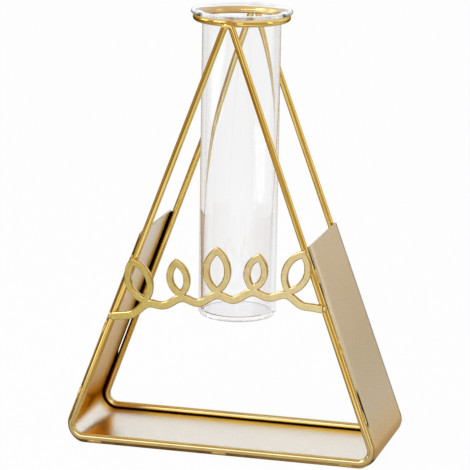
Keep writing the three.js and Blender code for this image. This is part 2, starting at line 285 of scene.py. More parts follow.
def new_piece(name, vertices, faces, smooth=True):
    mesh = bpy.data.meshes.new(name)
    mesh.from_pydata(vertices, [], faces)
    mesh.polygons.foreach_set("use_smooth", [smooth] * len(mesh.polygons))
    mesh.update()
    return add_object(name, mesh)


def finish_piece(piece, body, node, slot, *materials):
    """Gives a piece its materials, and says which body it rides on and hides the CAD node it stands for."""
    for material in materials:
        piece.data.materials.append(material)
    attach(piece, body)
    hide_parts(node)


def round_edges(piece, width, segments):
    bevel = piece.modifiers.new("rounded_edges", "BEVEL")
    bevel.width = width
    bevel.segments = segments
    bevel.limit_method = "ANGLE"
    bevel.angle_limit = SHARP_ANGLE
    bevel.harden_normals = True


def sweep(name, path, radius, placing):
    """A round wire along a closed path in the XY plane.

    Its UV map has the run along the wire and the run round it, in metres.
    """
    count = len(path)
    vertices = []
    runs = [0.0]
    for i, point in enumerate(path):
        ahead = path[(i + 1) % count]
        tangent = (ahead - path[i - 1]).normalized()
        outward = tangent.cross(UP)
        runs.append(runs[-1] + (ahead - point).length)
        for k in range(WIRE_SIDES):
            turn = 2 * math.pi * k / WIRE_SIDES
            vertices.append(placing @ (point + radius * (math.cos(turn) * outward + math.sin(turn) * UP)))
    faces = []
    corners = []
    for i in range(count):
        for k in range(WIRE_SIDES):
            cells = [(i, k), (i, k + 1), (i + 1, k + 1), (i + 1, k)]
            faces.append([(a % count) * WIRE_SIDES + b % WIRE_SIDES for a, b in cells])
            corners += [(runs[a], 2 * math.pi * radius * b / WIRE_SIDES) for a, b in cells]
    piece = new_piece(name, vertices, faces)
    layer = piece.data.uv_layers.new(name="wire_run")
    layer.data.foreach_set("uv", [value for corner in corners for value in corner])
    return piece


def frame_path():
    """A frame's closed triangle: right foot bend, apex bend and left foot bend."""
    right = arc(FOOT_CENTRE, FOOT_BEND, FOOT_BEND, -math.pi / 2, LEG_ANGLE, BEND_STEPS)
    apex = arc(0, APEX_CENTRE, APEX_BEND, LEG_ANGLE, math.pi - LEG_ANGLE, BEND_STEPS)
    left = arc(-FOOT_CENTRE, FOOT_BEND, FOOT_BEND, math.pi - LEG_ANGLE, 1.5 * math.pi, BEND_STEPS)
    return right + apex + left


def ring_path():
    return arc(0, 0, RING_RADIUS, 0, 2 * math.pi, ROUND_STEPS)[:-1]


def tube_profile():
    """The tube's half section, as radius and height: foot, wall, flared lip and back down the inside."""
    base = tube_low.z
    top = tube_high.z
    flare = RING_RADIUS - TUBE_RADIUS
    flare_centre = top - LIP_THICKNESS - flare
    lip_round = LIP_THICKNESS / 2
    inner = TUBE_RADIUS - TUBE_WALL
    foot = TUBE_RADIUS - TUBE_FOOT_RADIUS
    corner = inner - TUBE_INNER_CORNER
    quarter = math.pi / 2
    points = arc(foot, base + TUBE_FOOT_RADIUS, TUBE_FOOT_RADIUS, -quarter, 0, PROFILE_STEPS)
    points += arc(RING_RADIUS, flare_centre, flare, math.pi, quarter, PROFILE_STEPS)
    points += arc(tube_high.x - lip_round, top - lip_round, lip_round, -quarter, quarter, PROFILE_STEPS)
    for i in range(PROFILE_STEPS + 1):
        turn = quarter * (1 + i / PROFILE_STEPS)
        across = (flare + TUBE_WALL) * math.cos(turn)
        rise = (flare + LIP_THICKNESS) * math.sin(turn)
        points.append(Vector((RING_RADIUS + across, flare_centre + rise, 0)))
    inner_foot = base + TUBE_FLOOR + TUBE_INNER_CORNER
    points += arc(corner, inner_foot, TUBE_INNER_CORNER, 0, -quarter, PROFILE_STEPS)
    return points


def revolve(name, profile):
    """A closed body turned round Z from an open half section, with a flat disc at each end of it."""
    vertices = []
    for point in profile:
        for k in range(ROUND_STEPS):
            turn = 2 * math.pi * k / ROUND_STEPS
            vertices.append((point.x * math.cos(turn), point.x * math.sin(turn), point.y))
    faces = []
    for i in range(len(profile) - 1):
        for k in range(ROUND_STEPS):
            ahead = (k + 1) % ROUND_STEPS
            low, high = i * ROUND_STEPS, (i + 1) * ROUND_STEPS
            faces.append([low + k, low + ahead, high + ahead, high + k])
    last = (len(profile) - 1) * ROUND_STEPS
    faces.append(list(reversed(range(ROUND_STEPS))))
    faces.append([last + k for k in range(ROUND_STEPS)])
    return new_piece(name, vertices, faces)


def tack_runs(start, end, inset):
    """Where the middles of the tacks lie along a straight run of wire."""
    first = start + inset + TACK_LENGTH / 2
    last = end - inset - TACK_LENGTH / 2
    return [first + (last - first) * i / (TACKS_PER_RUN - 1) for i in range(TACKS_PER_RUN)]


def leg_slit(side, run):
    """How far the left panel stands off the back leg, between two tacks."""
    if side > 0:
        return 0.0
    first, second = tack_runs(FOOT_TANGENT, PANEL_RUN, LEG_TACK_INSET)[:2]
    share = (run - first - TACK_LENGTH / 2) / (second - first - TACK_LENGTH)
    return SLIT * smoothstep(share, 0, SLIT_TAPER) * smoothstep(1 - share, 0, SLIT_TAPER)


def band_stations():
    """Places along the band from its left top edge to its right one.

    Each has a point on the wire's middle, the direction outward and the width of the slit.
    """
    stations = []
    runs = [PANEL_RUN + (FOOT_TANGENT - PANEL_RUN) * i / LEG_STEPS for i in range(LEG_STEPS + 1)]
    for side in (-1, 1):
        outward = Vector((side * math.cos(LEG_ANGLE), math.sin(LEG_ANGLE), 0))
        leg = [(leg_point(side, run), outward, leg_slit(side, run)) for run in runs]
        middle = Vector((side * FOOT_CENTRE, FOOT_BEND, 0))
        bend = []
        for i in range(1, BEND_STEPS + 1):
            turn = LEG_ANGLE - i / BEND_STEPS * (LEG_ANGLE + math.pi / 2)
            direction = Vector((side * math.cos(turn), math.sin(turn), 0))
            bend.append((middle + FOOT_BEND * direction, direction, 0.0))
        half = leg + bend
        stations += half if side < 0 else list(reversed(half))
    return stations


def base_band():
    """One strip of sheet, bent round both frames.

    Its edges are drawn up to the wires, and the panels' outer face is rolled in at the front edge.
    Its inner face, outer face and cut edges have a material slot each.
    """
    vertices = []
    depths = [math.sin(math.pi / 2 * (2 * j / DEPTH_STEPS - 1)) for j in range(DEPTH_STEPS + 1)]
    stations = band_stations()
    for point, outward, slit in stations:
        slope = smoothstep(abs(outward.x), 0, ROLL_FULL_SLOPE)
        for depth in depths:
            closed = CLOSED_SEAM + (slit if depth > 0 else 0.0)
            gap = SEAM_GAP + (closed - SEAM_GAP) * smoothstep(abs(depth), DRAWN_UP_FROM, 1)
            roll = FRONT_ROLL * smoothstep(-depth, ROLLED_FROM, 1) * slope
            for offset in (WIRE_RADIUS + gap, SHEET_OFFSET + SHEET_THICKNESS - roll):
                place = point + offset * outward
                half_depth = FRAME_SPACING / 2 - place.y * math.sin(FRAME_LEAN)
                height = FOOT_WIRE_HEIGHT + place.y * math.cos(FRAME_LEAN)
                vertices.append((place.x, depth * half_depth, height))
    row = 2 * len(depths)
    inner_faces = []
    outer_faces = []
    edge_faces = []
    for i in range(len(stations) - 1):
        here, ahead = i * row, (i + 1) * row
        for j in range(0, row - 2, 2):
            inner_faces.append([here + j, ahead + j, ahead + j + 2, here + j + 2])
            outer_faces.append([here + j + 1, here + j + 3, ahead + j + 3, ahead + j + 1])
        edge_faces.append([here, here + 1, ahead + 1, ahead])
        edge_faces.append([here + row - 2, ahead + row - 2, ahead + row - 1, here + row - 1])
    end = (len(stations) - 1) * row
    for j in range(0, row - 2, 2):
        edge_faces.append([j, j + 2, j + 3, j + 1])
        edge_faces.append([end + j, end + j + 1, end + j + 3, end + j + 2])
    piece = new_piece("band_sheet", vertices, inner_faces + outer_faces + edge_faces)
    slots = [0] * len(inner_faces) + [1] * len(outer_faces) + [2] * len(edge_faces)
    piece.data.polygons.foreach_set("material_index", slots)
    round_edges(piece, SHEET_ROUND, SHEET_ROUND_STEPS)
    return piece


STEM_START = leg_point(-1, STEM_HEIGHT / math.cos(LEG_ANGLE))
STEM_END = leg_point(1, (STEM_HEIGHT + STEM_RISE) / math.cos(LEG_ANGLE))
STEM_PITCHES = LEAVES + 1


def stem_point(pitches):
    """The stem's middle, by leaf pitches from the left leg. Its wave dies out over the legs."""
    to_end = STEM_PITCHES - pitches
    tails = smoothstep(pitches, 0, 1) * smoothstep(to_end, 0, 1)
    wave = STEM_WAVE * tails * math.cos(2 * math.pi * pitches)
    arch = STEM_ARCH * smoothstep(pitches, 0, STEM_SHOULDER) * smoothstep(to_end, 0, STEM_SHOULDER)
    rise = STEM_RISE * smoothstep(pitches, 0, STEM_PITCHES)
    x = STEM_START.x + (STEM_END.x - STEM_START.x) * pitches / STEM_PITCHES
    return Vector((x, STEM_START.y + rise + arch + wave, 0))


def strip_section(width):
    """A strip's section as distances from one edge and heights, with both front edges rounded."""
    turns = [math.pi / 2 * i / ROUND_EDGE_STEPS for i in range(ROUND_EDGE_STEPS + 1)]
    shoulder = ORNAMENT_THICKNESS - ORNAMENT_ROUND
    near = [(ORNAMENT_ROUND * (1 - math.cos(a)), shoulder + ORNAMENT_ROUND * math.sin(a)) for a in turns]
    far = [(width - across, height) for across, height in reversed(near)]
    return [(0.0, 0.0), *near, *far, (width, 0.0)]


def plate(name, line, width, closed):
    """A flat strip of sheet, from a function that gives the line at a distance in from one edge.

    Its front and back have the first material slot and its edges the second.
    """
    rows = [[point + height * UP for point in line(across)] for across, height in strip_section(width)]
    count = len(rows[0])
    faces = []
    slots = []
    for i in range(len(rows)):
        here, above = i * count, (i + 1) % len(rows) * count
        for k in range(count if closed else count - 1):
            ahead = (k + 1) % count
            faces.append([here + k, here + ahead, above + ahead, above + k])
            slots.append(0 if i in (len(rows) // 2 - 1, len(rows) - 1) else 1)
    if not closed:
        start = [i * count for i in range(len(rows))]
        faces += [start, [i + count - 1 for i in reversed(start)]]
        slots += [1, 1]
    piece = new_piece(name, [point for row in rows for point in row], faces, smooth=False)
    piece.data.polygons.foreach_set("material_index", slots)
    return piece


def stem_line(across):
    """The stem from left to right, at a distance from its lower edge."""
    nudge = 1e-4
    line = []
    for i in range(STEM_STEPS * STEM_PITCHES + 1):
        pitches = i / STEM_STEPS
        along = (stem_point(pitches + nudge) - stem_point(pitches - nudge)).normalized()
        line.append(stem_point(pitches) + (across - STEM_WIDTH / 2) * UP.cross(along))
    return line


def leaf_outline(length, width, inset):
    """Two equal arcs that meet at the leaf's foot and tip, drawn in from the edge by inset."""
    half = length / 2
    radius = (half**2 + (width / 2) ** 2) / width
    offset = radius - width / 2
    reach = math.acos(offset / (radius - inset))
    up = math.pi / 2
    below = arc(half, offset, radius - inset, -up - reach, -up + reach, LEAF_STEPS)
    above = arc(half, -offset, radius - inset, up - reach, up + reach, LEAF_STEPS)
    return below[:-1] + above[:-1]


def leaf(index):
    """A leaf of the stem, counted from one at the left. Odd ones are large, and all of them fan out."""
    length, width = LARGE_LEAF if index % 2 == 1 else SMALL_LEAF
    turn = math.pi / 2 + LEAF_FAN * (0.5 - (index - 1) / (LEAVES - 1))
    placing = Matrix.Translation(stem_point(index)) @ Matrix.Rotation(turn, 4, "Z")

    def line(across):
        return [placing @ point for point in leaf_outline(length, width, across)]

    return plate(f"leaf_{index}", line, LEAF_STRIP, closed=True)


def joined(piece, others):
    """The union of one piece with others, which are used up."""
    for other in others:
        union = piece.modifiers.new("union", "BOOLEAN")
        union.operation = "UNION"
        union.solver = "EXACT"
        union.object = other
    depsgraph = bpy.context.evaluated_depsgraph_get()
    mesh = bpy.data.meshes.new_from_object(piece.evaluated_get(depsgraph))
    piece.modifiers.clear()
    piece.data = mesh
    for other in others:
        bpy.data.objects.remove(other)
    return piece


def ornament(face_metal, edge_metal):
    """The stem and its leaves in one piece, in front of the front frame."""
    stem = plate("leafy_stem", stem_line, STEM_WIDTH, closed=False)
    leaves = [leaf(i) for i in range(1, LEAVES + 1)]
    for strip in [stem, *leaves]:
        strip.data.materials.append(face_metal)
        strip.data.materials.append(edge_metal)
    piece = joined(stem, leaves)
    piece.data.transform(FRONT @ Matrix.Translation((0, 0, SHEET_OFFSET)))
    return piece


def bead(name, placing, length, width, height, seed):
    """A weld bead: a long drop along X with a lumpy skin."""
    own_lumps = Vector([seed * step for step in LUMP_STEP])
    mesh = bpy.data.meshes.new(name)
    shape = bmesh.new()
    bmesh.ops.create_icosphere(shape, subdivisions=BEAD_SUBDIVISIONS, radius=1)
    for vertex in shape.verts:
        x, y, z = vertex.co
        lump = 1 + LUMP_SIZE * noise.noise(vertex.co * LUMPS_ACROSS + own_lumps)
        blunt = math.copysign(abs(x) ** BEAD_BLUNTNESS, x)
        vertex.co = lump * Vector((blunt * length / 2, y * width / 2, z * height / 2))
    shape.transform(placing)
    for face in shape.faces:
        face.smooth = True
    shape.to_mesh(mesh)
    shape.free()
    return add_object(name, mesh)


def tack_placing(placing, point, outward):
    """Axes of a bead in the crevice between a wire and its sheet.

    X runs along the wire, and Y out over the sheet's edge.
    """
    along = outward.cross(UP)
    axes = Matrix((along, outward, UP)).transposed().to_4x4()
    shift = Matrix.Translation((0, WIRE_RADIUS + TACK_OUT, TACK_FORWARD))
    return placing @ Matrix.Translation(point) @ axes @ shift @ Matrix.Rotation(TACK_TILT, 4, "X")


def tack_beads(weld_metal):
    """The tacks of both frames. The back frame is turned round, so its first side is the right one."""
    seed = 0
    for face, placing, sides in (("front", FRONT, ("left", "right")), ("back", BACK, ("right", "left"))):
        places = []
        for i, run in enumerate(tack_runs(FOOT_TANGENT, PANEL_RUN, LEG_TACK_INSET)):
            for side, name in zip((-1, 1), sides):
                outward = Vector((side * math.cos(LEG_ANGLE), math.sin(LEG_ANGLE), 0))
                places.append((f"{face}_{name}_{i + 1}", leg_point(side, run), outward))
        for i, x in enumerate(tack_runs(-FOOT_CENTRE, FOOT_CENTRE, FOOT_TACK_INSET)):
            places.append((f"{face}_foot_{i + 1}", Vector((x, 0, 0)), Vector((0, -1, 0))))
        for name, point, outward in places:
            seed += 1
            axes = tack_placing(placing, point, outward)
            piece = bead(f"bead_{name}", axes, TACK_LENGTH, TACK_WIDTH, TACK_HEIGHT, seed)
            finish_piece(piece, "stand", f"tack_weld_{name}", "weld_metal", weld_metal)


def node_bead(node, weld_metal, seed):
    """A bead that fills the box of the CAD bead it stands for."""
    low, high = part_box(node)
    size = high - low
    piece = bead(f"bead_{node}", Matrix.Translation((low + high) / 2), size.x, size.y, size.z, seed)
    finish_piece(piece, "stand", node, "weld_metal", weld_metal)


def shader_node(tree, kind, inputs=(), **settings):
    """A shader node with its settings, and its inputs set to values or linked to sockets."""
    made = tree.nodes.new(kind)
    for name, value in settings.items():
        setattr(made, name, value)
    for name, value in dict(inputs).items():
        if isinstance(value, bpy.types.NodeSocket):
            tree.links.new(value, made.inputs[name])
        else:
            made.inputs[name].default_value = value
    return made


def new_material(name):
    material = bpy.data.materials.new(name)
    material.use_nodes = True
    return material, material.node_tree, material.node_tree.nodes["Principled BSDF"]


def object_place(tree):
    """The place on a piece as it stands at rest, in metres."""
    return shader_node(tree, "ShaderNodeTexCoord").outputs["Object"]


def axes_of(tree, place):
    """X, Y and Z of a place or a direction."""
    return shader_node(tree, "ShaderNodeSeparateXYZ", {"Vector": place}).outputs.values()


def combine(tree, operation, first, second=0.0):
    return shader_node(tree, "ShaderNodeMath", {0: first, 1: second}, operation=operation).outputs["Value"]


def product(tree, first, *others):
    for other in others:
        first = combine(tree, "MULTIPLY", first, other)
    return first


def ramp(tree, value, start, end, low, high):
    """Goes smoothly from low to high while the value goes from start to end."""
    mapped = shader_node(
        tree,
        "ShaderNodeMapRange",
        {"Value": value, "From Min": start, "From Max": end, "To Min": low, "To Max": high},
        interpolation_type="SMOOTHSTEP",
    )
    return mapped.outputs["Result"]


def mix_tones(tree, share, first, second):
    """From one tone to another, each of them a colour or a socket."""
    mix = shader_node(tree, "ShaderNodeMix", {"Factor": share}, data_type="RGBA")
    for socket, tone in ((mix.inputs[6], first), (mix.inputs[7], second)):
        if isinstance(tone, tuple):
            socket.default_value = (*tone, 1)
        else:
            tree.links.new(tone, socket)
    return mix.outputs[2]


def cloud(tree, place, scale, stretch=(1, 1, 1), detail=3.0):
    """Noise from about zero to one, stretched along the axes of place."""
    mapping = shader_node(tree, "ShaderNodeMapping", {"Vector": place, "Scale": stretch})
    noise_node = shader_node(
        tree, "ShaderNodeTexNoise", {"Vector": mapping.outputs["Vector"], "Scale": scale, "Detail": detail}
    )
    return ramp(tree, noise_node.outputs["Fac"], *NOISE_RANGE, 0.0, 1.0)


def drift(tones, scale=TONE_PATCHES):
    """A tone that drifts between two, in patches or as a fine speckle."""

    def tone(tree, place):
        return mix_tones(tree, cloud(tree, place, scale), *tones)

    return tone


def seam_distance(tree, depth, height):
    """Distance from the middle of the band towards its edges, made up for the lean of the frames."""
    leaned = product(tree, height, math.tan(FRAME_LEAN))
    return combine(tree, "ADD", combine(tree, "ABSOLUTE", depth), leaned)


def on_panels(tree, height):
    """Zero on the foot plate and one on the panels."""
    return ramp(tree, height, 3.5 * MM, 9 * MM, 0.0, 1.0)


def inner_tone(tree, place):
    """Pale on the foot plate, and gold up the panels to a pale top; both pale parts are painted reflection
    of the bright room.
    """
    _, _, height = axes_of(tree, place)
    # Painted reflection makes the foot plate pale
    pale = drift(PLATE_PAINTED_REFLECTION, PLATE_SPECKLE)(tree, place)
    gold = drift(PANEL_GOLD, PANEL_PATCHES)(tree, place)
    # Painted reflection makes the panels' top pale
    gold = mix_tones(tree, ramp(tree, height, 55 * MM, 95 * MM, 0.0, 0.85), gold, PANEL_TOP_PAINTED_REFLECTION)
    return mix_tones(tree, on_panels(tree, height), pale, gold)


def inner_painted_light(tree, place, tone):
    """Painted reflection of the gold wires: amber up the panels' seams and on the plate's back seam, deeper
    in the foot corners, and yellow along the plate's back seam.

    The back seam itself is dark with painted shade.
    """
    x, depth, height = axes_of(tree, place)
    seam = seam_distance(tree, depth, height)
    back = product(tree, seam, combine(tree, "SIGN", depth))
    panel = on_panels(tree, height)
    foot_plate = combine(tree, "SUBTRACT", 1.0, panel)

    # Painted reflection of the gold wires, amber, along the seams
    back_amber = ramp(tree, back, 13 * MM, 22.5 * MM, 0.0, 0.75)
    seam_amber = ramp(tree, seam, 18 * MM, 25 * MM, 0.0, 0.3)
    amber = product(tree, panel, combine(tree, "MAXIMUM", back_amber, seam_amber))
    tone = mix_tones(tree, amber, tone, AMBER_PAINTED_REFLECTION)

    # Painted reflection, deep amber, low in the panels' corners and on the plate beside the left bend
    corner = product(tree, panel, ramp(tree, height, 10 * MM, 27 * MM, 0.9, 0.0))
    slanted = combine(tree, "ADD", x, product(tree, depth, REFLECTION_PATCH_SLANT))
    beside_bend = product(
        tree,
        ramp(tree, slanted, -61.5 * MM, -56.2 * MM, 0.8, 0.0),
        ramp(tree, x, -66 * MM, -62 * MM, 0.0, 1.0),
        foot_plate,
    )
    tone = mix_tones(tree, combine(tree, "MAXIMUM", corner, beside_bend), tone, DEEP_AMBER_PAINTED_REFLECTION)

    # Painted reflection of the back wire, yellow, on the plate along the back seam
    back = combine(tree, "ADD", back, ramp(tree, height, 3 * MM, 12 * MM, -0.5 * MM, 0.7 * MM))
    yellow = product(tree, foot_plate, ramp(tree, back, 17 * MM, 22.5 * MM, 0.0, 0.75))
    tone = mix_tones(tree, yellow, tone, YELLOW_PAINTED_REFLECTION)
    # Painted shade, near black, in the crevice of the back seam
    return mix_tones(tree, ramp(tree, back, 23.4 * MM, 25.2 * MM, 0.0, 0.97), tone, SEAM_PAINTED_SHADE)


def outer_tone(tree, place):
    """Champagne at the top of a panel, and warmer and deeper towards the foot."""
    _, _, height = axes_of(tree, place)
    warm = drift(FOOT_WARM, SATIN_SPECKLE)(tree, place)
    deep = drift(SATIN_DEEP, SATIN_SPECKLE)(tree, place)
    pale = drift(CHAMPAGNE, SATIN_SPECKLE)(tree, place)
    tone = mix_tones(tree, ramp(tree, height, 30 * MM, 90 * MM, 0.0, 1.0), deep, pale)
    return mix_tones(tree, ramp(tree, height, 4 * MM, 26 * MM, 0.0, 1.0), warm, tone)


def front_seam_painted_shade(tree, height):
    """How strong the painted shade of the front seam's gap is: strong on a stretch above the foot, faint
    towards the top, and zero between.
    """
    low = product(
        tree, ramp(tree, height, 18 * MM, 21 * MM, 0.0, 1.0), ramp(tree, height, 33 * MM, 37 * MM, 1.0, 0.0)
    )
    high = ramp(tree, height, 74 * MM, 82 * MM, 0.0, 0.35)
    return product(tree, combine(tree, "ADD", low, high), 0.95)


def outer_painted_shade(tree, place, tone):
    """Painted shade: brown along the back seam, a contact shadow towards the table, and darkest on stretches
    of the front seam, in the gap beside the wire.
    """
    _, depth, height = axes_of(tree, place)
    back = product(tree, seam_distance(tree, depth, height), combine(tree, "SIGN", depth))
    # Painted shade along the back seam, where the sheet meets the wire
    tone = mix_tones(tree, ramp(tree, back, 25 * MM, 26.2 * MM, 0.0, 0.6), tone, BACK_SEAM_PAINTED_SHADE)
    # Painted contact shadow along the foot, next to the table
    tone = mix_tones(tree, ramp(tree, height, 3.4 * MM, 5.6 * MM, 0.95, 0.0), tone, TABLE_PAINTED_SHADOW)
    # Painted shade in the gap between the sheet's front edge and the wire
    border = ramp(tree, back, -26 * MM, -25.2 * MM, 1.0, 0.0)
    return mix_tones(tree, product(tree, border, front_seam_painted_shade(tree, height)), tone, FRONT_GAP_PAINTED_SHADE)


def edge_tone(tree, place):
    """Grey gold along the top of a panel, and along its seams brown at the left and gold at the right, where
    the brown is painted shade.

    High up, most of all below the top, the seams carry a painted shadow of the gap between sheet and wire.
    """
    x, _, height = axes_of(tree, place)
    brown = drift(EDGE_LEFT_PAINTED_SHADE, EDGE_PATCHES)(tree, place)
    gold = drift(EDGE_GOLD, EDGE_PATCHES)(tree, place)
    # Painted shade makes the left edges brown
    tone = mix_tones(tree, ramp(tree, x, 0.0, 60 * MM, 0.0, 1.0), brown, gold)
    # Painted shadow of the gap between the sheet's edge and the wire, high up
    gap_shadow = product(
        tree, ramp(tree, height, 72 * MM, 80 * MM, 0.0, 0.9), ramp(tree, height, 88 * MM, 96 * MM, 1.0, 0.55)
    )
    tone = mix_tones(tree, gap_shadow, tone, EDGE_GAP_PAINTED_SHADOW)
    return mix_tones(tree, ramp(tree, height, 96.6 * MM, 97.2 * MM, 0.0, 1.0), tone, EDGE_TOP)


def wire_tone(tree, place):
    """Deep gold, paler towards the foot, where the pale is a painted highlight."""
    _, _, height = axes_of(tree, object_place(tree))
    pale = drift(WIRE_PAINTED_HIGHLIGHT)(tree, place)
    deep = drift(WIRE_DEEP)(tree, place)
    return mix_tones(tree, ramp(tree, height, 3 * MM, 40 * MM, 0.0, 1.0), pale, deep)


def ring_tone(tree, place):
    """Gold at the right, browner round the left and the back, where the brown is a painted dark reflection.
    """
    x, depth, _ = axes_of(tree, place)
    brown = combine(tree, "SUBTRACT", product(tree, depth, RING_REFLECTION_SLANT), x)
    gold = drift(RING_GOLD)(tree, place)
    return mix_tones(tree, ramp(tree, brown, 0.0, 20 * MM, 0.0, 0.75), gold, RING_PAINTED_DARK_REFLECTION)


def ornament_tone(tree, place):
    """Olive gold at the left end and paler gold at the right."""
    x, _, _ = axes_of(tree, place)
    olive = drift(ORNAMENT_OLIVE, ORNAMENT_PATCHES)(tree, place)
    pale = drift(ORNAMENT_PALE, ORNAMENT_PATCHES)(tree, place)
    return mix_tones(tree, ramp(tree, x, -40 * MM, 10 * MM, 0.0, 1.0), olive, pale)


def metal(name, tone, roughness, grain, depth, stretch=(1, 1, 1), uv_map=None, painted_light=None, edge=WHITE):
    """Plated metal: its tone drifts, its polish varies, and fine marks break up the gloss.

    Grain and depth are the scale and the depth of the marks, and edge is the tint where it is seen edge on.
    """
    material, tree, shader = new_material(name)
    if uv_map:
        place = shader_node(tree, "ShaderNodeUVMap", uv_map=uv_map).outputs["UV"]
    else:
        place = object_place(tree)
    shader.inputs["Metallic"].default_value = 1.0
    base = tone(tree, place)
    # Painted reflection and shade over the tone, and over the edge tint
    if painted_light:
        base = painted_light(tree, place, base)
        tree.links.new(painted_light(tree, place, edge), shader.inputs["Specular Tint"])
    else:
        shader.inputs["Specular Tint"].default_value = (*edge, 1)
    tree.links.new(base, shader.inputs["Base Color"])
    polish = ramp(tree, cloud(tree, place, POLISH_PATCHES, stretch), 0.0, 1.0, *roughness)
    tree.links.new(polish, shader.inputs["Roughness"])
    marks = cloud(tree, place, grain, stretch, detail=4.0)
    bump = shader_node(tree, "ShaderNodeBump", {"Strength": 1.0, "Distance": depth, "Height": marks})
    tree.links.new(bump.outputs["Normal"], shader.inputs["Normal"])
    return material


def clear_glass():
    """Clear glass with faint drawing waves, greyer edge on, standing for absorption in the wall, and darkest
    at its outline, its foot corner and its rim, where the dark lines are painted reflection.
    """
    material, tree, shader = new_material("clear_glass")
    shader.inputs["Transmission Weight"].default_value = 1.0
    shader.inputs["IOR"].default_value = GLASS_INDEX
    shader.inputs["Roughness"].default_value = 0.0
    place = object_place(tree)
    _, _, height = axes_of(tree, place)
    below_lip = ramp(tree, height, tube_high.z - 6 * MM, tube_high.z - 3 * MM, 1.0, 0.2)

    facing = shader_node(tree, "ShaderNodeLayerWeight", {"Blend": 0.5}).outputs["Facing"]
    facing = product(tree, facing, below_lip)
    tint = mix_tones(tree, ramp(tree, facing, 0.4, 0.9, 0.0, 1.0), GLASS_CLEAR, GLASS_SIDE)
    # Painted dark reflection at the very outline
    tint = mix_tones(tree, ramp(tree, facing, 0.9, 1.0, 0.0, 1.0), tint, GLASS_OUTLINE_PAINTED_REFLECTION)

    level_place = shader_node(tree, "ShaderNodeVectorMath", {0: place, 1: (1, 1, 0)}, operation="MULTIPLY")
    from_axis = shader_node(
        tree, "ShaderNodeVectorMath", {0: level_place.outputs["Vector"]}, operation="LENGTH"
    ).outputs["Value"]
    # Painted dark reflection lines at the foot corner and at the rim
    low = ramp(tree, height, tube_low.z + 0.4 * MM, tube_low.z + 1.6 * MM, 1.0, 0.0)
    foot = product(tree, low, ramp(tree, from_axis, 15.5 * MM, 16.3 * MM, 0.0, 0.9))
    tint = mix_tones(tree, foot, tint, GLASS_FOOT_PAINTED_REFLECTION)
    rim = ramp(tree, from_axis, tube_high.x - 0.5 * MM, tube_high.x - 0.1 * MM, 0.0, 0.85)
    tint = mix_tones(tree, rim, tint, GLASS_RIM_PAINTED_REFLECTION)
    tree.links.new(tint, shader.inputs["Base Color"])

    waves = product(tree, cloud(tree, place, GLASS_WAVES, GLASS_WAVE_STRETCH, detail=1.0), below_lip)
    bump = shader_node(
        tree, "ShaderNodeBump", {"Strength": 1.0, "Distance": GLASS_WAVE_DEPTH, "Height": waves}
    )
    tree.links.new(bump.outputs["Normal"], shader.inputs["Normal"])
    return material


def seen_by(tree, *rays):
    """One for rays of these kinds, and otherwise zero."""
    path = shader_node(tree, "ShaderNodeLightPath")
    shown = path.outputs[rays[0]]
    for ray in rays[1:]:
        shown = combine(tree, "MAXIMUM", shown, path.outputs[ray])
    return shown


def mix_shaders(tree, share, first, second):
    return shader_node(tree, "ShaderNodeMixShader", {0: share, 1: first, 2: second}).outputs["Shader"]


def gradient_disc(tree, place, centre, reach):
    """One at a centre, and evenly down to zero at a distance from it."""
    spot = shader_node(
        tree,
        "ShaderNodeMapping",
        {"Vector": place, "Location": centre, "Scale": (reach, reach, 1)},
        vector_type="TEXTURE",
    )
    disc = shader_node(
        tree, "ShaderNodeTexGradient", {"Vector": spot.outputs["Vector"]}, gradient_type="SPHERICAL"
    )
    return disc.outputs["Fac"]


def floor_gloss(tree, place):
    """How bright gloss shows the floor: a pool of light, shade round the vase and two bright spots."""
    x, depth, _ = axes_of(tree, place)
    pool = gradient_disc(tree, place, POOL_CENTRE, POOL_REACH)
    behind_vase = ramp(tree, depth, 0.0, 0.1, 1.0, 1.35)
    far_behind = ramp(tree, depth, 0.3, 0.75, 1.0, 0.4)
    far_left = ramp(tree, x, -0.5, -0.1, 0.35, 1.0)
    shade = gradient_disc(tree, place, SHADE_CENTRE, SHADE_REACH)
    shade = product(tree, shade, ramp(tree, depth, -0.058, -0.046, 1.0, 0.2))
    foot = gradient_disc(tree, place, FOOT_CENTRE_ON_FLOOR, FOOT_REACH)
    level = product(
        tree,
        ramp(tree, pool, 0.0, 1.0, POOL_EDGE, POOL_MIDDLE),
        behind_vase,
        far_behind,
        far_left,
        ramp(tree, shade, 0.0, 0.7, 1.0, SHADE_LEVEL),
        ramp(tree, foot, 0.0, 0.6, 1.0, FOOT_LEVEL),
    )
    for centre in SPOT_CENTRES:
        spot = gradient_disc(tree, place, centre, SPOT_REACH)
        level = combine(tree, "MAXIMUM", level, ramp(tree, spot, 0.0, 0.5, 0.0, SPOT_LEVEL))
    return level


def pale_floor():
    """White to the camera and through glass, with a faint shadow, and lit in parts for gloss."""
    material, tree, shader = new_material("pale_floor")
    shader.inputs["Base Color"].default_value = (*FLOOR_GREY, 1)
    shader.inputs["Roughness"].default_value = FLOOR_ROUGHNESS
    shader.inputs["Specular IOR Level"].default_value = 0.0
    level = floor_gloss(tree, object_place(tree))
    tint = mix_tones(tree, ramp(tree, level, 0.3, 0.8, 0.0, 1.0), DIM_TINT, WHITE)
    glow = shader_node(tree, "ShaderNodeEmission", {"Color": tint, "Strength": level}).outputs["Emission"]
    glossed = mix_shaders(tree, seen_by(tree, "Is Glossy Ray"), shader.outputs["BSDF"], glow)
    white = shader_node(tree, "ShaderNodeEmission", {"Strength": 1.0}).outputs["Emission"]
    direct = seen_by(tree, "Is Camera Ray", "Is Transmission Ray")
    shown = mix_shaders(tree, product(tree, direct, FLOOR_WHITENESS), glossed, white)
    tree.links.new(shown, tree.nodes["Material Output"].inputs["Surface"])
    return material


def add_floor():
    far = FLOOR_HALF_SIDE
    corners = [(-far, -far, 0), (far, -far, 0), (far, far, 0), (-far, far, 0)]
    floor = new_piece("floor", corners, [[0, 1, 2, 3]], smooth=False)
    floor.data.materials.append(pale_floor())


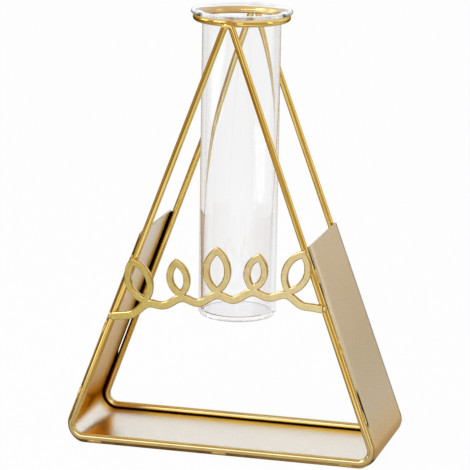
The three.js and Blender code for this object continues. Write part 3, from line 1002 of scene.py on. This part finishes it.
def light_world():
    """Plain soft light, and a white backdrop to the camera and through glass.

    Gloss shows a room that is bright behind the vase, and dim and warm elsewhere.
    """
    world = bpy.data.worlds.new("studio")
    bpy.context.scene.world = world
    world.use_nodes = True
    tree = world.node_tree
    room = tree.nodes["Background"]
    room.inputs["Color"].default_value = (*ROOM_LIGHT, 1)
    room.inputs["Strength"].default_value = ROOM_STRENGTH
    direction = shader_node(tree, "ShaderNodeTexCoord").outputs["Generated"]
    x, depth, height = axes_of(tree, direction)
    behind = ramp(tree, depth, -0.1, 0.7, 0.0, 1.0)
    above_floor = ramp(tree, height, -0.08, 0.1, 0.0, 1.0)
    below_ceiling = ramp(tree, height, 0.45, 0.9, 1.0, 0.0)
    off_the_left = ramp(tree, x, -0.95, -0.45, 0.0, 1.0)
    lit = product(tree, behind, above_floor, below_ceiling, off_the_left)
    dim = ramp(tree, x, -0.9, -0.3, LEFT_GLOSS, ROOM_GLOSS)
    level = combine(tree, "ADD", dim, product(tree, lit, combine(tree, "SUBTRACT", 1.0, dim)))
    tint = mix_tones(tree, ramp(tree, level, DIM_LEVEL, 1.0, 0.0, 1.0), DIM_TINT, WHITE)
    gloss = shader_node(tree, "ShaderNodeBackground", {"Color": tint, "Strength": level})
    white = shader_node(tree, "ShaderNodeBackground", {"Color": (*WHITE, 1), "Strength": 1.0})
    glossed = mix_shaders(
        tree, seen_by(tree, "Is Glossy Ray"), room.outputs["Background"], gloss.outputs["Background"]
    )
    direct = seen_by(tree, "Is Camera Ray", "Is Transmission Ray")
    shown = mix_shaders(tree, direct, glossed, white.outputs["Background"])
    tree.links.new(shown, tree.nodes["World Output"].inputs["Surface"])


def add_lamp(name, place, width, height, radiance):
    """A softbox of even brightness, turned to the middle of the vase."""
    lamp = bpy.data.lights.new(name, "AREA")
    lamp.shape = "RECTANGLE"
    lamp.size = width
    lamp.size_y = height
    lamp.energy = radiance * math.pi * width * height
    holder = add_object(name, lamp)
    holder.location = place
    towards = (cad_low + cad_high) / 2 - Vector(place)
    holder.rotation_euler = towards.to_track_quat("-Z", "Y").to_euler()


def add_camera():
    level = math.cos(CAMERA_PITCH)
    forward = Vector((-math.sin(CAMERA_YAW) * level, math.cos(CAMERA_YAW) * level, -math.sin(CAMERA_PITCH)))
    right = Vector((math.cos(CAMERA_YAW), math.sin(CAMERA_YAW), 0))
    above = right.cross(forward)
    across = math.cos(CAMERA_ROLL) * right + math.sin(CAMERA_ROLL) * above
    upward = math.cos(CAMERA_ROLL) * above - math.sin(CAMERA_ROLL) * right
    camera = bpy.data.cameras.new("camera")
    camera.sensor_width = CAMERA_SENSOR
    camera.lens = CAMERA_LENS
    holder = add_object("camera", camera)
    axes = Matrix((across, upward, -forward)).transposed().to_4x4()
    place = CAMERA_AIM - CAMERA_DISTANCE * forward + CAMERA_SHIFT * right
    holder.matrix_world = Matrix.Translation(place) @ axes
    bpy.context.scene.camera = holder


def add_wires():
    polish = (0.05, 0.11)
    wire_metal = metal(
        "polished_wire",
        wire_tone,
        roughness=polish,
        grain=900.0,
        depth=4 * MICRON,
        stretch=(0.08, 1, 1),
        uv_map="wire_run",
        edge=WIRE_EDGE,
    )
    ring_metal = metal(
        "ring_wire", ring_tone, roughness=polish, grain=900.0, depth=3 * MICRON, edge=WIRE_EDGE
    )
    for name, node, placing in (("front_wire", "front_frame", FRONT), ("back_wire", "back_frame", BACK)):
        wire = sweep(name, frame_path(), WIRE_RADIUS, placing)
        finish_piece(wire, "stand", node, "polished_wire", wire_metal)
    ring = sweep("ring_wire", ring_path(), WIRE_RADIUS, Matrix.Translation((0, 0, RING_HEIGHT)))
    finish_piece(ring, "stand", "support_ring", "polished_wire", ring_metal)


def add_band():
    inner_metal = metal(
        "inner_sheet",
        inner_tone,
        roughness=(0.285, 0.33),
        grain=5000.0,
        depth=1.2 * MICRON,
        painted_light=inner_painted_light,
    )
    outer_metal = metal(
        "satin_sheet",
        outer_tone,
        roughness=(0.38, 0.41),
        grain=2600.0,
        depth=12 * MICRON,
        painted_light=outer_painted_shade,
    )
    edge_metal = metal("cut_edge", edge_tone, roughness=(0.2, 0.26), grain=4000.0, depth=2 * MICRON)
    finish_piece(base_band(), "stand", "base_band", "satin_sheet", inner_metal, outer_metal, edge_metal)


def add_ornament():
    face_metal = metal(
        "brushed_sheet",
        ornament_tone,
        roughness=(0.29, 0.36),
        grain=2500.0,
        depth=10 * MICRON,
        stretch=(0.15, 1, 1),
    )
    rim_tone = drift(ORNAMENT_EDGE)
    rim_metal = metal("ornament_edge", rim_tone, roughness=(0.12, 0.2), grain=2500.0, depth=2 * MICRON)
    finish_piece(ornament(face_metal, rim_metal), "stand", "ornament", "brushed_sheet")


def add_beads():
    weld_tone = drift(WELD_GOLD, BEAD_PATCHES)
    weld_metal = metal("weld_metal", weld_tone, roughness=(0.12, 0.22), grain=1500.0, depth=3 * MICRON)
    braze_tone = drift(BRAZE_BROWN, BEAD_PATCHES)
    braze_metal = metal("braze_metal", braze_tone, roughness=(0.12, 0.25), grain=1500.0, depth=4 * MICRON)
    tack_beads(weld_metal)
    node_bead("ring_weld_front", braze_metal, seed=40)
    node_bead("ring_weld_back", weld_metal, seed=41)
    node_bead("ornament_weld_left", weld_metal, seed=42)
    node_bead("ornament_weld_right", weld_metal, seed=43)


def add_tube():
    tube = revolve("tube_glass", tube_profile())
    tube.visible_shadow = False
    finish_piece(tube, "tube", "glass_tube", "clear_glass", clear_glass())


add_camera()
add_wires()
add_band()
add_ornament()
add_beads()
add_tube()
add_floor()
light_world()
add_lamp("front", (-0.2, -1.7, 0.6), width=1.6, height=0.9, radiance=1.2)
add_lamp("key", (-0.9, -0.8, 1.1), width=0.6, height=0.6, radiance=3.5)
add_lamp("side", (1.3, -0.1, 0.45), width=0.3, height=1.0, radiance=1.0)
add_lamp("low", (-0.5, -0.3, 0.03), width=0.5, height=0.055, radiance=1.4)
add_lamp("left", (-1.2, 0.0, 0.7), width=0.5, height=0.5, radiance=2.0)
bpy.context.scene.view_settings.view_transform = "Standard"
bpy.context.scene.cycles.glossy_bounces = GLASS_BOUNCES
bpy.context.scene.cycles.transmission_bounces = GLASS_BOUNCES
bpy.context.scene.cycles.max_bounces = 2 * GLASS_BOUNCES
